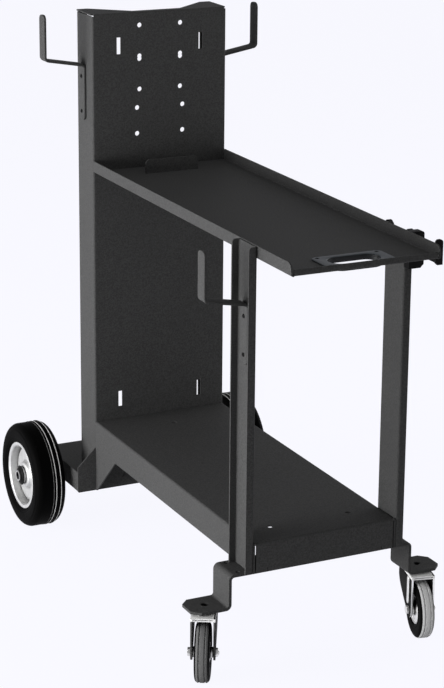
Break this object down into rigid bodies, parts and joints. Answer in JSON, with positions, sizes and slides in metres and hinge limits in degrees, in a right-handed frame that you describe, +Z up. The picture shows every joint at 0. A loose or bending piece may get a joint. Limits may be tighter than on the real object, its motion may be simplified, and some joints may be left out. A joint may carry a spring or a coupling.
{
  "type": "welding cart",
  "caption": "Dark powder-coated welding cart with a machine tray, a lower deck, a bottle platform, cable hooks, fixed rear wheels and swivel casters.",
  "frame": {"origin": "on the floor under the middle of the cart: midway between the bottle platform's rear edge and the tray's front, on the middle plane of the column", "axes": "+X to the cart's right seen from its front, -Y towards the front where the grip is, +Z up"},
  "size_m": [0.5012, 1.053, 1.012],
  "materials": {
    "powder_coat": "dark grey textured powder coat",
    "handle_plastic": "matt blue grey",
    "black_screws": "black",
    "zinc": "bright zinc plated",
    "tyre_rubber": "matt black",
    "caster_rubber": "matt dark grey",
    "black_plastic": "matt black"
  },
  "bodies": {
    "frame": {"column": "powder_coat", "tray": "powder_coat", "handle_insert": "handle_plastic", "handle_screws": "black_screws", "deck": "powder_coat", "left_leg": "powder_coat", "right_leg": "powder_coat", "foot_bar": "powder_coat", "left_column_hook": "powder_coat", "right_column_hook": "powder_coat", "leg_hook": "powder_coat", "hook_screws": "black_screws", "bottle_platform": "powder_coat", "left_gusset": "powder_coat", "right_gusset": "powder_coat", "left_stub_axle": "zinc", "right_stub_axle": "zinc", "axle_clips": "zinc", "left_caster_race": "zinc", "right_caster_race": "zinc", "left_caster_kingpin": "zinc", "right_caster_kingpin": "zinc", "torch_holder": "black_plastic", "torch_holder_screws": "zinc"},
    "left_rear_wheel": {"left_tyre": "tyre_rubber", "left_rim": "zinc", "left_wheel_discs": "zinc", "left_hub": "zinc", "left_hub_caps": "black_plastic"},
    "right_rear_wheel": {"right_tyre": "tyre_rubber", "right_rim": "zinc", "right_wheel_discs": "zinc", "right_hub": "zinc", "right_hub_caps": "black_plastic"},
    "left_swivel": {"left_caster_fork": "zinc", "left_caster_bolt": "zinc", "left_caster_nut": "zinc"},
    "left_caster_wheel": {"left_caster_tyre": "caster_rubber", "left_caster_hub": "zinc", "left_caster_dish": "zinc"},
    "right_swivel": {"right_caster_fork": "zinc", "right_caster_bolt": "zinc", "right_caster_nut": "zinc"},
    "right_caster_wheel": {"right_caster_tyre": "caster_rubber", "right_caster_hub": "zinc", "right_caster_dish": "zinc"}
  },
  "joints": [
    {"name": "left_rear_wheel_spin", "type": "hinge", "parent": "frame", "child": "left_rear_wheel", "pos_m": [-0.216, 0.3825, 0.102], "axis": [1, 0, 0], "continuous": true},
    {"name": "right_rear_wheel_spin", "type": "hinge", "parent": "frame", "child": "right_rear_wheel", "pos_m": [0.216, 0.3825, 0.102], "axis": [1, 0, 0], "continuous": true},
    {"name": "left_swivel_turn", "type": "hinge", "parent": "frame", "child": "left_swivel", "pos_m": [-0.205, -0.3705, 0.111], "axis": [0, 0, 1], "continuous": true},
    {"name": "left_caster_spin", "type": "hinge", "parent": "left_swivel", "child": "left_caster_wheel", "pos_m": [-0.21857, -0.39499, 0.051], "axis": [0.8746, -0.4848, 0], "continuous": true},
    {"name": "right_swivel_turn", "type": "hinge", "parent": "frame", "child": "right_swivel", "pos_m": [0.205, -0.3705, 0.111], "axis": [0, 0, 1], "continuous": true},
    {"name": "right_caster_spin", "type": "hinge", "parent": "right_swivel", "child": "right_caster_wheel", "pos_m": [0.19823, -0.39767, 0.051], "axis": [0.9703, -0.2419, 0], "continuous": true}
  ]
}
